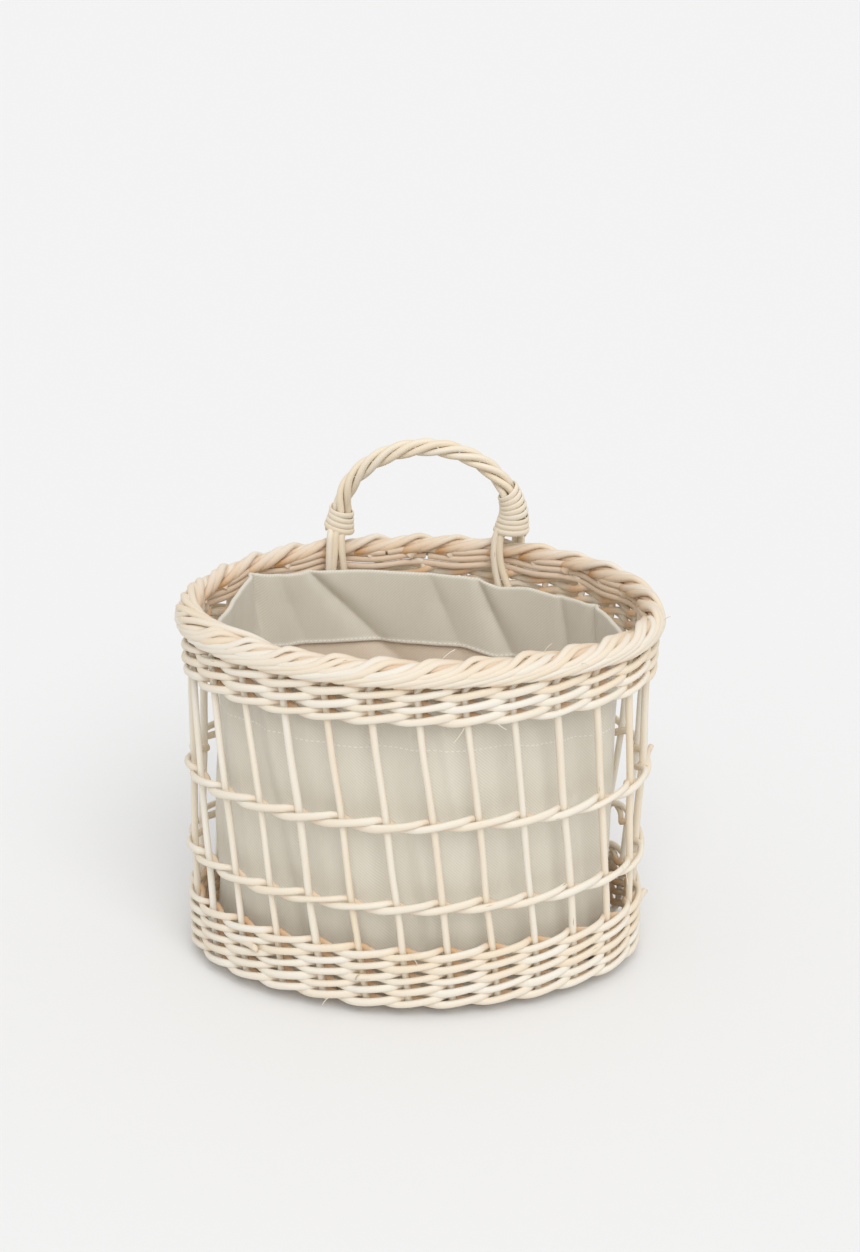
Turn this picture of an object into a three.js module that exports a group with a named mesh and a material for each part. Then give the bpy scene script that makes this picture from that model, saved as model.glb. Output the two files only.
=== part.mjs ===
// Wall-hung wicker planter basket with a twisted handle and a lift-out cloth liner.
// Millimetres, +Z up, flat back towards +Y, standing on its base at z = 0.
import * as THREE from 'three';

// Overall form, measured on the line of the stakes
const bodyHeight = 208;
const halfWidth = 124.2;
const frontDepth = 78;
const backDepth = 102.5;
const frontCurveShare = 1.08;
const backCurveShare = 0.92;
const footShare = 0.98;
const footShift = -3.5;
const leanStakeCount = 1.1;

// Rods
const stakeCount = 28;
const stakeDiameter = 3.7;
const weaverDiameter = 3.2;
const rodClearance = 0.3;

// Border: each stake turns down and winds once round the rim
const borderRods = 7;
const borderHalfWidth = 5;
const borderHalfHeight = 5.9;
const borderTailTurnShare = 0.87;
const borderFirstTurnShare = 0.25;
const stakeBendRadius = 6;
const bendPlaceShares = [0.3, 1.2];
const bendDropShares = [0.25, 0];

// Pairing: two weavers that swap sides between the stakes
const upperBandRows = 3;
const lowerBandRows = 5;
const lowerBandStart = 9.9;
const upperOpenRowHeight = 115;
const lowerOpenRowHeight = 67;
const stepUpStakeCount = 2;
const stepMiddleShare = 0.5;
const pairingFirstStakeCount = 7;
const crossingShare = 0.25;
const pairClearanceShare = 1.5;

// Base
const baseThickness = 7;
const baseEdgeInset = 10.3;
const baseEdgeRadius = 2;
const footBend = 6;
const footHeight = 3.5;
const footBendRiseShares = [0, 0.2, 1];
const footBendReachShares = [1, 0.4, 0];

// Handle
const handleRods = 4;
const handleRodDiameter = 4;
const ropeRadius = 3.5;
const ropePitch = 56;
const ropePhaseShare = 0.125;
const handleHalfSpan = 49;
const handleRise = 57;
const handleLegRise = 17;
const handleFootDepth = 27;
const leftBindingRise = 21;
const rightBindingLength = 33;
const bindingWidth = 2.9;
const bindingThickness = 1.3;
const bindingPitch = 3.3;
const bindingClearance = 0.75;
const bindingStart = 5;
const handleInset = 2;
const bindingStretch = 8;
const gatherRadius = 4.8;
const rightFootDrift = 8;
const leftFootPlaceShares = [2.55, 1.35, 0.15, 0];
const rightFootPlaceShares = [0.65, -0.75, -1.95, -0.6];
const leftFootSides = [-1, -1, -1, 1];
const rightFootSides = [1, -1, -1, 1];
const legDepthShares = [1, 0.45, 0.15, 0.02];
const legGatherShares = [0, 0, 0.47, 0.68];
const legReachShares = [1, 1, 1, 0.82];
const footSeatShare = 1.1;

// Liner
const linerFrontGap = 10;
const linerBackGap = 14.2;
const linerThickness = 1.6;
const linerTopDrop = 17;
const linerTopWave = 2.5;
const linerTopWaveCount = 2;
const linerFloorGap = 0.4;
const linerFoldCount = 9;
const linerFoldDepth = 1.4;
const facingDepth = 38;
const facingThickness = 1;
const facingGap = 0.5;

// Facets
const weaverSides = 4;
const stakeSides = 5;
const handleSides = 5;
const stakeSteps = 4;
const bindingStepsPerTurn = 10;
const ropeStepsPerTurn = 8;
const archSteps = 360;
const planSteps = 56;
const planSamples = 1440;
const tangentSamples = 3;
const cornerShares = { 4: 1.2, 5: 1.08 };
const stripCornerSigns = [[1, 1], [-1, 1], [-1, -1], [1, -1]];

// Worked out from the sizes above
const stakeRadius = stakeDiameter / 2;
const weaverRadius = weaverDiameter / 2;
const handleRodRadius = handleRodDiameter / 2;
const pairHalfHeight = weaverRadius + rodClearance / 2;
const rowPitch = 2 * (pairHalfHeight + weaverRadius + rodClearance / 2);
const pairReach = stakeRadius + weaverRadius + pairClearanceShare * rodClearance;
const borderCentre = bodyHeight - borderHalfHeight - stakeRadius;
const borderBottom = borderCentre - borderHalfHeight - stakeRadius;
const topRowHeight = borderBottom - rodClearance - weaverRadius - pairHalfHeight;
const upperBandStart = topRowHeight - (upperBandRows - 1) * rowPitch;
const borderReach = borderHalfWidth + stakeRadius;
const handleFootReach = borderReach + handleRodRadius * footSeatShare + rodClearance;
const frontReach = frontDepth + borderReach;
const backReach = backDepth + borderReach;
const planCentre = (backReach - frontReach) / 2;

const TURN = 2 * Math.PI;

// Plan: an oval, rounder in front and flatter at the back, sampled by arc length from the middle
// of the back and round by the left side.
function ovalPoint(angle) {
  const c = Math.cos(angle);
  const s = Math.sin(angle);
  const curveShare = s < 0 ? frontCurveShare : backCurveShare;
  const depth = s < 0 ? frontDepth : backDepth;
  const x = halfWidth * Math.sign(c) * Math.abs(c) ** curveShare;
  const y = depth * Math.sign(s) * Math.abs(s) ** curveShare;
  return new THREE.Vector2(x, y);
}

const plan = [];
for (let i = 0; i <= planSamples; i += 1) {
  plan.push(ovalPoint(TURN / 4 + TURN * i / planSamples));
}
const planLengths = [0];
for (let i = 1; i <= planSamples; i += 1) {
  planLengths.push(planLengths[i - 1] + plan[i].distanceTo(plan[i - 1]));
}
const stakeSpacing = planLengths[planSamples] / stakeCount;

// The plan's point and outward direction at a place, counted in stake spacings
function planAt(place) {
  const wanted = THREE.MathUtils.euclideanModulo(place, stakeCount) * stakeSpacing;
  let low = 0;
  let high = planSamples;
  while (high - low > 1) {
    const middle = (low + high) >> 1;
    if (planLengths[middle] > wanted) {
      high = middle;
    } else {
      low = middle;
    }
  }
  const part = (wanted - planLengths[low]) / (planLengths[high] - planLengths[low]);
  const point = plan[low].clone().lerp(plan[high], part);
  const before = plan[(low - tangentSamples + planSamples) % planSamples];
  const after = plan[(high + tangentSamples) % planSamples];
  const along = after.clone().sub(before).normalize();
  return { point, outward: new THREE.Vector2(along.y, -along.x) };
}

// A point of the basket wall: place along the rim in stakes, height, and how far outside the stakes.
// The wall narrows, shifts and leans from the rim to the foot.
function wallPoint(place, height, reach) {
  const down = 1 - height / bodyHeight;
  const { point, outward } = planAt(place + leanStakeCount * down);
  const scale = 1 - (1 - footShare) * down;
  const x = point.x * scale + footShift * down + outward.x * reach;
  const y = point.y * scale + outward.y * reach - planCentre;
  return new THREE.Vector3(x, y, height);
}

function wallOutward(place, height) {
  const { outward } = planAt(place + leanStakeCount * (1 - height / bodyHeight));
  return new THREE.Vector3(outward.x, outward.y, 0);
}

// A closed solid from rings of points, with a flat fan over the first and the last ring
function solidFromRings(rings) {
  const positions = [];
  const indices = [];
  const count = rings[0].length;
  for (const ring of rings) {
    for (const point of ring) {
      positions.push(point.x, point.y, point.z);
    }
  }
  for (let r = 0; r + 1 < rings.length; r += 1) {
    for (let i = 0; i < count; i += 1) {
      const a = r * count + i;
      const b = r * count + (i + 1) % count;
      indices.push(a, b, b + count, a, b + count, a + count);
    }
  }
  const last = (rings.length - 1) * count;
  for (const [ring, start, flip] of [[rings[0], 0, true], [rings[rings.length - 1], last, false]]) {
    const centre = new THREE.Vector3();
    ring.forEach((point) => centre.add(point));
    centre.divideScalar(count);
    const hub = positions.length / 3;
    positions.push(centre.x, centre.y, centre.z);
    for (let i = 0; i < count; i += 1) {
      const a = start + i;
      const b = start + (i + 1) % count;
      indices.push(hub, flip ? b : a, flip ? a : b);
    }
  }
  const geometry = new THREE.BufferGeometry();
  geometry.setAttribute('position', new THREE.Float32BufferAttribute(positions, 3));
  geometry.setIndex(indices);
  geometry.computeVertexNormals();
  return geometry;
}

// A closed ring-shaped solid, such as a strip of cloth sewn end to end
function loopFromRings(rings) {
  const positions = [];
  const indices = [];
  const count = rings[0].length;
  rings.forEach((ring) => ring.forEach((point) => positions.push(point.x, point.y, point.z)));
  for (let r = 0; r < rings.length; r += 1) {
    for (let i = 0; i < count; i += 1) {
      const next = (r + 1) % rings.length;
      const a = r * count + i;
      const b = r * count + (i + 1) % count;
      const c = next * count + (i + 1) % count;
      const d = next * count + i;
      indices.push(a, b, c, a, c, d);
    }
  }
  const geometry = new THREE.BufferGeometry();
  geometry.setAttribute('position', new THREE.Float32BufferAttribute(positions, 3));
  geometry.setIndex(indices);
  geometry.computeVertexNormals();
  return geometry;
}

// The corners of a round rod's section
function roundSection(diameter, sides) {
  const corner = diameter / 2 * cornerShares[sides];
  const section = [];
  for (let k = 0; k < sides; k += 1) {
    const angle = TURN * (k + 0.5) / sides;
    section.push([corner * Math.cos(angle), corner * Math.sin(angle)]);
  }
  return section;
}

// The corners of a flat strip's section, thin in the direction that it faces
function stripSection(thickness, width) {
  return stripCornerSigns.map(([out, aside]) => [out * thickness / 2, aside * width / 2]);
}

// A section swept along a path. It follows the facing directions, or turns as little as it can.
function rodGeometry(path, section, facings) {
  const rings = [];
  let side = facings ? facings[0].clone() : null;
  for (let i = 0; i < path.length; i += 1) {
    const before = path[Math.max(i - 1, 0)];
    const after = path[Math.min(i + 1, path.length - 1)];
    const into = path[i].clone().sub(before).normalize();
    const out = after.clone().sub(path[i]).normalize();
    const along = into.add(out).normalize();
    if (facings) {
      side = facings[i].clone();
    } else if (!side) {
      side = new THREE.Vector3(-along.z, along.x, along.y);
    }
    side.addScaledVector(along, -side.dot(along)).normalize();
    const across = new THREE.Vector3().crossVectors(along, side);
    rings.push(section.map(([out, aside]) => {
      return path[i].clone().addScaledVector(side, out).addScaledVector(across, aside);
    }));
  }
  return solidFromRings(rings);
}

// Materials
const willow = new THREE.MeshStandardMaterial({ color: 0xe8d7b9, roughness: 0.62, metalness: 0 });
const willowShade = new THREE.MeshStandardMaterial({ color: 0xdcc59f, roughness: 0.66, metalness: 0 });
const linen = new THREE.MeshStandardMaterial({ color: 0xc6bfb0, roughness: 0.92, metalness: 0 });
const lining = new THREE.MeshStandardMaterial({ color: 0xcdbcaa, roughness: 0.92, metalness: 0 });

const basket = new THREE.Group();
basket.name = 'planter_basket';

function add(name, geometry, material) {
  const mesh = new THREE.Mesh(geometry, material);
  mesh.name = name;
  basket.add(mesh);
}

const pad = (number) => String(number).padStart(2, '0');

// Stakes: from the base's edge, up the wall, then once round inside the rolled border
function stakePath(place) {
  const path = [wallPoint(place, footHeight, rodClearance - baseEdgeInset)];
  footBendRiseShares.forEach((riseShare, i) => {
    const reach = -footBend * footBendReachShares[i];
    path.push(wallPoint(place, footHeight + footBend * riseShare, reach));
  });
  const bottomSlot = borderCentre - borderHalfHeight;
  const straightEnd = bottomSlot - stakeBendRadius;
  const start = footHeight + footBend;
  for (let i = 1; i <= stakeSteps; i += 1) {
    path.push(wallPoint(place, start + (straightEnd - start) * i / stakeSteps, 0));
  }
  const bend = stakeBendRadius / stakeSpacing;
  bendPlaceShares.forEach((placeShare, i) => {
    path.push(wallPoint(place + bend * placeShare, bottomSlot - stakeBendRadius * bendDropShares[i], 0));
  });
  for (let turned = 1; turned <= borderRods; turned += 1) {
    const moved = Math.min(turned, borderRods * borderTailTurnShare);
    const angle = TURN * (moved / borderRods - borderFirstTurnShare);
    const height = borderCentre + borderHalfHeight * Math.sin(angle);
    path.push(wallPoint(place + moved, height, borderHalfWidth * Math.cos(angle)));
  }
  return path;
}

const stakeSection = roundSection(stakeDiameter, stakeSides);
for (let k = 0; k < stakeCount; k += 1) {
  add(`stake_${pad(k + 1)}`, rodGeometry(stakePath(k), stakeSection), willow);
}

// Pairing weavers: outside one stake, inside the next, and crossing the partner in between
function climb(place, rows) {
  const row = Math.min(Math.floor(place / stakeCount), rows - 1);
  const last = row === rows - 1;
  const into = (place - row * stakeCount - (stakeCount - stepUpStakeCount)) / stepUpStakeCount;
  const rise = last ? 0 : THREE.MathUtils.smoothstep(into, 0, 1);
  return (row + rise) * rowPitch;
}

function pairingRod(firstHeight, rows, outsideFirst) {
  const path = [];
  const facings = [];
  const sign = outsideFirst ? 1 : -1;
  const total = rows * stakeCount - (rows > 1 ? stepUpStakeCount : 0);
  for (let stake = 0; stake < total; stake += 1) {
    const outside = stake % 2 === 0 ? sign : -sign;
    for (const towards of [-1, 1]) {
      const wound = stake + towards * crossingShare;
      const lift = towards * outside * pairHalfHeight;
      const height = firstHeight + climb(wound + stepMiddleShare, rows) + lift;
      const place = pairingFirstStakeCount + wound;
      path.push(wallPoint(place, height, outside * pairReach));
      facings.push(wallOutward(place, height));
    }
  }
  return rodGeometry(path, roundSection(weaverDiameter, weaverSides), facings);
}

function addPair(name, firstHeight, rows) {
  add(`${name}_outer_weaver`, pairingRod(firstHeight, rows, true), willow);
  add(`${name}_inner_weaver`, pairingRod(firstHeight, rows, false), willowShade);
}

addPair('lower_band', lowerBandStart, lowerBandRows);
addPair('lower_open_row', lowerOpenRowHeight, 1);
addPair('upper_open_row', upperOpenRowHeight, 1);
addPair('upper_band', upperBandStart, upperBandRows);

// Base panel, on whose flat underside the basket stands
function baseRing(height, inset) {
  const ring = [];
  for (let i = 0; i < planSteps; i += 1) {
    const point = wallPoint(i * stakeCount / planSteps, 0, -baseEdgeInset - inset);
    ring.push(point.setZ(height));
  }
  return ring;
}

add('base_panel', solidFromRings([
  baseRing(0, baseEdgeRadius),
  baseRing(baseEdgeRadius, 0),
  baseRing(baseThickness - baseEdgeRadius, 0),
  baseRing(baseThickness, baseEdgeRadius),
]), willowShade);

// Handle: the arch's centre line, from the left leg over the crown to the right leg
const handleBack = wallPoint(handleHalfSpan / stakeSpacing, bodyHeight, -handleInset).y;
const archHeight = handleRise - handleLegRise;
const archPoints = [];
for (let i = 0; i <= archSteps; i += 1) {
  const angle = TURN / 2 * (1 - i / archSteps);
  const x = handleHalfSpan * Math.cos(angle);
  archPoints.push(new THREE.Vector2(x, handleLegRise + archHeight * Math.sin(angle)));
}
const archLengths = [0];
for (let i = 1; i <= archSteps; i += 1) {
  archLengths.push(archLengths[i - 1] + archPoints[i].distanceTo(archPoints[i - 1]));
}
const archLength = archLengths[archSteps];
const handleLength = archLength + 2 * handleLegRise;

// The centre line's point above the rim, and its outward direction in the arch's plane
function archAt(length) {
  const over = length - handleLegRise;
  if (over <= 0) {
    return { x: -handleHalfSpan, rise: length, outX: -1, outZ: 0 };
  }
  if (over >= archLength) {
    return { x: handleHalfSpan, rise: handleLength - length, outX: 1, outZ: 0 };
  }
  const i = Math.max(1, archLengths.findIndex((value) => value >= over));
  const part = (over - archLengths[i - 1]) / (archLengths[i] - archLengths[i - 1]);
  const point = archPoints[i - 1].clone().lerp(archPoints[i], part);
  const along = archPoints[i].clone().sub(archPoints[i - 1]).normalize();
  return { x: point.x, rise: point.y, outX: -along.y, outZ: along.x };
}

// A point beside the centre line: away from the arch's middle by one offset, backwards by the other
function besideArch(length, away, back) {
  const { x, rise, outX, outZ } = archAt(length);
  const z = bodyHeight + rise + outZ * away;
  return new THREE.Vector3(x + outX * away, handleBack + back, z);
}

const leftBindingEnd = leftBindingRise;
const rightBindingStart = handleLength - rightBindingLength;
const leftBindingSpan = leftBindingRise - bindingStart;
const rightBindingSpan = rightBindingLength - bindingStart;
const ropeLength = rightBindingStart - leftBindingEnd;
const ropeShifts = Math.round(ropeLength / ropePitch * handleRods);
const ropeTurns = ropeShifts / handleRods + ropePhaseShare;

// A point of the rope or of the gathered rods: round the centre line at a radius
function aroundArch(length, radius, turned) {
  const angle = TURN * turned;
  return besideArch(length, radius * Math.cos(angle), radius * Math.sin(angle));
}

// One leg of a handle rod, from its foot beside the border up to the start of the binding
function legPath(leftSide, place, side, turned, drift) {
  const sign = leftSide ? -1 : 1;
  const gatherPlace = gatherRadius * Math.cos(TURN * turned);
  return legDepthShares.map((depthShare, i) => {
    const height = bodyHeight - handleFootDepth * depthShare;
    const away = THREE.MathUtils.lerp(place, gatherPlace, legGatherShares[i]) + (i ? 0 : drift);
    const x = sign * (handleHalfSpan + away);
    const lean = leanStakeCount * (1 - height / bodyHeight);
    return wallPoint(-x / stakeSpacing - lean, height, side * handleFootReach * legReachShares[i]);
  });
}

// The stretch of a handle rod inside a binding, without its end in the rope
function boundPath(span, at, turned) {
  const steps = Math.ceil(span / bindingStretch);
  const points = [];
  for (let i = 0; i < steps; i += 1) {
    const radius = THREE.MathUtils.lerp(gatherRadius, ropeRadius, i / steps);
    points.push(aroundArch(at(bindingStart + span * i / steps), radius, turned));
  }
  return points;
}

function handleRodPath(rod) {
  const startTurn = -rod / handleRods;
  const endTurn = startTurn + ropeTurns;
  const leftPlace = handleRodDiameter * leftFootPlaceShares[rod];
  const path = legPath(true, leftPlace, leftFootSides[rod], startTurn, 0);
  path.push(...boundPath(leftBindingSpan, (rise) => rise, startTurn));
  const steps = Math.round(ropeTurns * ropeStepsPerTurn);
  for (let i = 0; i <= steps; i += 1) {
    const turned = startTurn + ropeTurns * i / steps;
    path.push(aroundArch(leftBindingEnd + ropeLength * i / steps, ropeRadius, turned));
  }
  path.push(...boundPath(rightBindingSpan, (rise) => handleLength - rise, endTurn).reverse());
  const foot = THREE.MathUtils.euclideanModulo(rod - ropeShifts, handleRods);
  const rightPlace = handleRodDiameter * rightFootPlaceShares[foot];
  const drift = rightFootSides[foot] < 0 ? rightFootDrift : 0;
  path.push(...legPath(false, rightPlace, rightFootSides[foot], endTurn, drift).reverse());
  return path;
}

const handleRodSection = roundSection(handleRodDiameter, handleSides);
for (let rod = 0; rod < handleRods; rod += 1) {
  add(`handle_rod_${rod + 1}`, rodGeometry(handleRodPath(rod), handleRodSection), willow);
}

// Bindings: one flat split rod wound round each foot of the handle, wider where its rods spread
const bindingSeat = handleRodRadius + bindingThickness / 2 + bindingClearance;
const bindingTightRadius = ropeRadius + bindingSeat;
const bindingWideRadius = gatherRadius + bindingSeat;

function bindingGeometry(span, at) {
  const path = [];
  const facings = [];
  const first = bindingStart + bindingWidth / 2;
  const wound = span - bindingWidth / 2;
  const turns = wound / bindingPitch;
  const steps = Math.round(turns * bindingStepsPerTurn);
  for (let i = 0; i <= steps; i += 1) {
    const part = i / steps;
    const radius = THREE.MathUtils.lerp(bindingWideRadius, bindingTightRadius, part);
    const length = at(first + wound * part);
    const point = aroundArch(length, radius, turns * part);
    path.push(point);
    facings.push(point.clone().sub(besideArch(length, 0, 0)).normalize());
  }
  return rodGeometry(path, stripSection(bindingThickness, bindingWidth), facings);
}

add('handle_binding_left', bindingGeometry(leftBindingSpan, (rise) => rise), willowShade);
add('handle_binding_right', bindingGeometry(rightBindingSpan, (rise) => handleLength - rise), willowShade);

// Liner: a cloth bag that hangs inside the wall, with soft folds and a turned-in facing
const linerFloor = baseThickness + linerFloorGap;
const linerTop = bodyHeight - linerTopDrop;

function linerPoint(turnShare, heightShare, inset) {
  const topWave = linerTopWave * Math.sin(TURN * linerTopWaveCount * turnShare) * heightShare;
  const height = linerFloor + (linerTop - linerFloor) * heightShare + topWave;
  const place = turnShare * stakeCount;
  const towardsBack = (1 + Math.cos(TURN * turnShare)) / 2;
  const gap = THREE.MathUtils.lerp(linerFrontGap, linerBackGap, towardsBack);
  const foldShare = Math.sin(TURN * linerFoldCount * turnShare) ** 2 * Math.sin(TURN / 2 * heightShare);
  const lean = leanStakeCount * (1 - height / bodyHeight);
  return wallPoint(place - lean, height, -gap - linerFoldDepth * foldShare - inset);
}

function linerRing(heightShare, inset, lift) {
  const ring = [];
  for (let i = 0; i < planSteps; i += 1) {
    const point = linerPoint(i / planSteps, heightShare, inset);
    point.z += lift;
    ring.push(point);
  }
  return ring;
}

const facingShare = 1 - facingDepth / (linerTop - linerFloor);
const linerLevelShares = [0, facingShare / 2, facingShare, 1];
add('liner_bag', solidFromRings([
  ...linerLevelShares.map((share) => linerRing(share, 0, 0)),
  ...linerLevelShares.toReversed().map((share) => linerRing(share, linerThickness, share ? 0 : linerThickness)),
]), linen);

const facingInset = linerThickness + facingGap;
add('liner_facing', loopFromRings([
  linerRing(facingShare, facingInset, 0),
  linerRing(1, facingInset, 0),
  linerRing(1, facingInset + facingThickness, 0),
  linerRing(facingShare, facingInset + facingThickness, 0),
]), lining);

export default basket;
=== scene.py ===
# %% [markdown]
# A wall basket of peeled willow with a lift-out cloth liner. The real basket is woven by hand from
# straight rods: upright stakes, pairs of weavers that swap sides between them, a rolled border made
# of the stakes' own ends, and a twisted handle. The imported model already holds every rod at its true
# place as a plain bar. This script follows the same routes with smooth, slightly uneven rods, sews the
# liner as thin cloth, and gives all of it its finish.

import math
import random

import bpy
import numpy as np
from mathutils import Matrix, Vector, noise


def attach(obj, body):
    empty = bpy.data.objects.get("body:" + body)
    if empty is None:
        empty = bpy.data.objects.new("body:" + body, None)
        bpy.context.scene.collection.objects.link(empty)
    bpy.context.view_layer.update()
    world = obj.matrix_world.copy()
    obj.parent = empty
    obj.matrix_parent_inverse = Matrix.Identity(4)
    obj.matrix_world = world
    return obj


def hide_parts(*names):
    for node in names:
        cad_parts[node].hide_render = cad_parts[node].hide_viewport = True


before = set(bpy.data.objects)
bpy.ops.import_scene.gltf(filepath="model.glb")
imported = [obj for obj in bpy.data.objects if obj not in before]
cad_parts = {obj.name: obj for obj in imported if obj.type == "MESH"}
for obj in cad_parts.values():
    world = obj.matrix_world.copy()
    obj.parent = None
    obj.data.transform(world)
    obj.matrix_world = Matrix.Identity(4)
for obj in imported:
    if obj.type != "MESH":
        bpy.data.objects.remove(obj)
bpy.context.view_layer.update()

# %% [markdown]
# The camera comes first. It stands a little to the right of the basket, well above it, and looks down
# at about 22 degrees. Its lens was worked out from the ellipses that the rim and the open rows make.

# %% Camera
MM = 0.001
PHOTO_WIDTH = 860
SENSOR_WIDTH = 36
FOCAL_PIXELS = 2300
CAMERA_PLACE = (0.0562, -1.1551, 0.6508)
CAMERA_TURN = 0.0442
CAMERA_DIP = math.radians(21.75)

bpy.ops.object.camera_add(location=CAMERA_PLACE, rotation=(math.pi / 2 - CAMERA_DIP, 0, CAMERA_TURN))
camera = bpy.context.object
camera.name = "photo_camera"
camera.data.sensor_fit = "HORIZONTAL"
camera.data.sensor_width = SENSOR_WIDTH
camera.data.lens = SENSOR_WIDTH * FOCAL_PIXELS / PHOTO_WIDTH
bpy.context.scene.camera = camera
print("lens", round(camera.data.lens, 1), "mm")

# %% [markdown]
# All rods follow the basket's wall, so the wall is described once: an oval plan that is flatter at the
# back, measured by its own length and counted in stake spacings, which narrows, shifts and leans
# towards the foot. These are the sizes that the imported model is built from.

# %% The wall
TURN = 2 * math.pi
BODY_HEIGHT = 208 * MM
HALF_WIDTH = 124.2 * MM
FRONT_DEPTH = 78 * MM
BACK_DEPTH = 102.5 * MM
FRONT_CURVE = 1.08
BACK_CURVE = 0.92
FOOT_SHARE = 0.98
FOOT_SHIFT = -3.5 * MM
LEAN_STAKES = 1.1
PLAN_CENTRE = 12.25 * MM
STAKES = 28
PLAN_SAMPLES = 1440

plan_angles = TURN / 4 + TURN * np.arange(PLAN_SAMPLES + 1) / PLAN_SAMPLES
cosines, sines = np.cos(plan_angles), np.sin(plan_angles)
in_front = sines < 0
plan_curve = np.where(in_front, FRONT_CURVE, BACK_CURVE)
plan_depth = np.where(in_front, FRONT_DEPTH, BACK_DEPTH)
plan_x = HALF_WIDTH * np.sign(cosines) * np.abs(cosines) ** plan_curve
plan_y = plan_depth * np.sign(sines) * np.abs(sines) ** plan_curve
plan_steps = np.hypot(np.diff(plan_x), np.diff(plan_y))
plan_length = np.concatenate([[0], np.cumsum(plan_steps)])
SPACING = plan_length[-1] / STAKES
LOOK_AHEAD = SPACING / 8


def plan_at(place):
    """Points of the plan and the outward directions there. Places are counted in stakes."""
    wanted = np.mod(place, STAKES) * SPACING
    ahead = np.mod(wanted + LOOK_AHEAD, plan_length[-1])
    behind = np.mod(wanted - LOOK_AHEAD, plan_length[-1])
    x, y = np.interp(wanted, plan_length, plan_x), np.interp(wanted, plan_length, plan_y)
    along_x = np.interp(ahead, plan_length, plan_x) - np.interp(behind, plan_length, plan_x)
    along_y = np.interp(ahead, plan_length, plan_y) - np.interp(behind, plan_length, plan_y)
    size = np.hypot(along_x, along_y)
    return x, y, along_y / size, -along_x / size


def wall(place, height, reach):
    """Points of the wall: how far round in stakes, how high, and how far outside the stakes."""
    place, height, reach = np.broadcast_arrays(place, height, reach)
    down = 1 - height / BODY_HEIGHT
    x, y, out_x, out_y = plan_at(place + LEAN_STAKES * down)
    scale = 1 - (1 - FOOT_SHARE) * down
    across = x * scale + FOOT_SHIFT * down + out_x * reach
    deep = y * scale + out_y * reach - PLAN_CENTRE
    return np.stack([across, deep, height], axis=-1)


def outward(place, height):
    """The direction straight out of the wall."""
    place, height = np.broadcast_arrays(place, height)
    out_x, out_y = plan_at(place + LEAN_STAKES * (1 - height / BODY_HEIGHT))[2:]
    return np.stack([out_x, out_y, np.zeros_like(out_x)], axis=-1)


print("stake spacing", round(SPACING / MM, 2), "mm")

# %% [markdown]
# Hand weaving is never quite even. A slow wave in space moves every rod of the basket a little, and
# neighbours move together, so nothing that was clear of its neighbour runs into it.

# %% Hand-made unevenness
random.seed(7)
SWAY = 0.9 * MM
SWAY_LENGTH = 45 * MM
SWAY_SHIFTS = ((0, 0, 0), (31.4, 12.7, 5.3), (7.9, 41.1, 23.6))


def sway(route):
    """A route moved by a slow wave, by less than a millimetre."""
    moved = np.array(route, float)
    for row in moved:
        spot = Vector(row[:3]) / SWAY_LENGTH
        row[:3] += SWAY * np.array([noise.noise(spot + Vector(shift)) for shift in SWAY_SHIFTS])
    return moved


def smooth(route, rounds):
    """A route with its corners rounded, its ends kept."""
    route = np.array(route, float)
    for _ in range(rounds):
        route[1:-1] = (route[:-2] + 2 * route[1:-1] + route[2:]) / 4
    return route


def even(route, step):
    """A route with points at even steps along it. Columns after the third go along with the place."""
    steps = np.linalg.norm(np.diff(route[:, :3], axis=0), axis=1)
    lengths = np.concatenate([[0], np.cumsum(steps)])
    count = max(3, round(lengths[-1] / step) + 1)
    wanted = np.linspace(0, lengths[-1], count)
    return np.stack([np.interp(wanted, lengths, column) for column in route.T], axis=1)


# %% [markdown]
# Where rods lie side by side they press each other a little flat. A bevelled curve could sweep a round
# section, but it turns as it likes round the route, so a small function lays the rings itself: each
# ring is square to the route and its flat side faces where it is told. Three values are kept on the
# points for the finish: where a point is along and round the rod, the rod's own tone, and a painted
# shade for how deep in the weave it lies.

# %% How a rod is made
ROD_STEP = 2.6 * MM
ROD_SIDES = 10
SWELL_SHARE = 0.08
SWELL_LENGTH = 30 * MM
CUT_REACH = 14 * MM
GRAIN_LENGTH = 50
SMOOTH_ANGLE = math.radians(50)
UPWARDS = (0, 0, 1)


def pick(piece):
    """Makes a piece the only selected and active one."""
    bpy.ops.object.select_all(action="DESELECT")
    piece.select_set(True)
    bpy.context.view_layer.objects.active = piece


def finish_piece(piece, finishes, body, nodes=()):
    """Gives a piece its finish, its body and the plain nodes that it stands for."""
    piece.data.materials.clear()
    for finish in finishes if isinstance(finishes, list) else [finishes]:
        piece.data.materials.append(finish)
    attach(piece, body)
    if nodes:
        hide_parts(*nodes)
    return piece


def unit(vectors):
    """The same directions, each one metre long."""
    return vectors / np.maximum(np.linalg.norm(vectors, axis=1, keepdims=True), 1e-9)


def tube_faces(count, sides):
    """The faces of a tube of rings, with a flat face over each end."""
    faces = []
    for ring in range(count - 1):
        for side in range(sides):
            after = (side + 1) % sides
            low, high = ring * sides, (ring + 1) * sides
            faces.append((low + side, low + after, high + after, high + side))
    faces.append(tuple(reversed(range(sides))))
    faces.append(tuple((count - 1) * sides + side for side in range(sides)))
    return faces


def add_piece(name, points, faces):
    """A new piece from its points and faces."""
    mesh = bpy.data.meshes.new(name)
    mesh.from_pydata([tuple(point) for point in points], [], faces)
    piece = bpy.data.objects.new(name, mesh)
    bpy.context.scene.collection.objects.link(piece)
    return piece


def keep_values(piece, label, kind, key, values):
    """Keeps a value on each point, for the finish to read."""
    attribute = piece.data.attributes.new(label, kind, "POINT")
    attribute.data.foreach_set(key, np.ascontiguousarray(values, dtype=np.float32).ravel())


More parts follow.
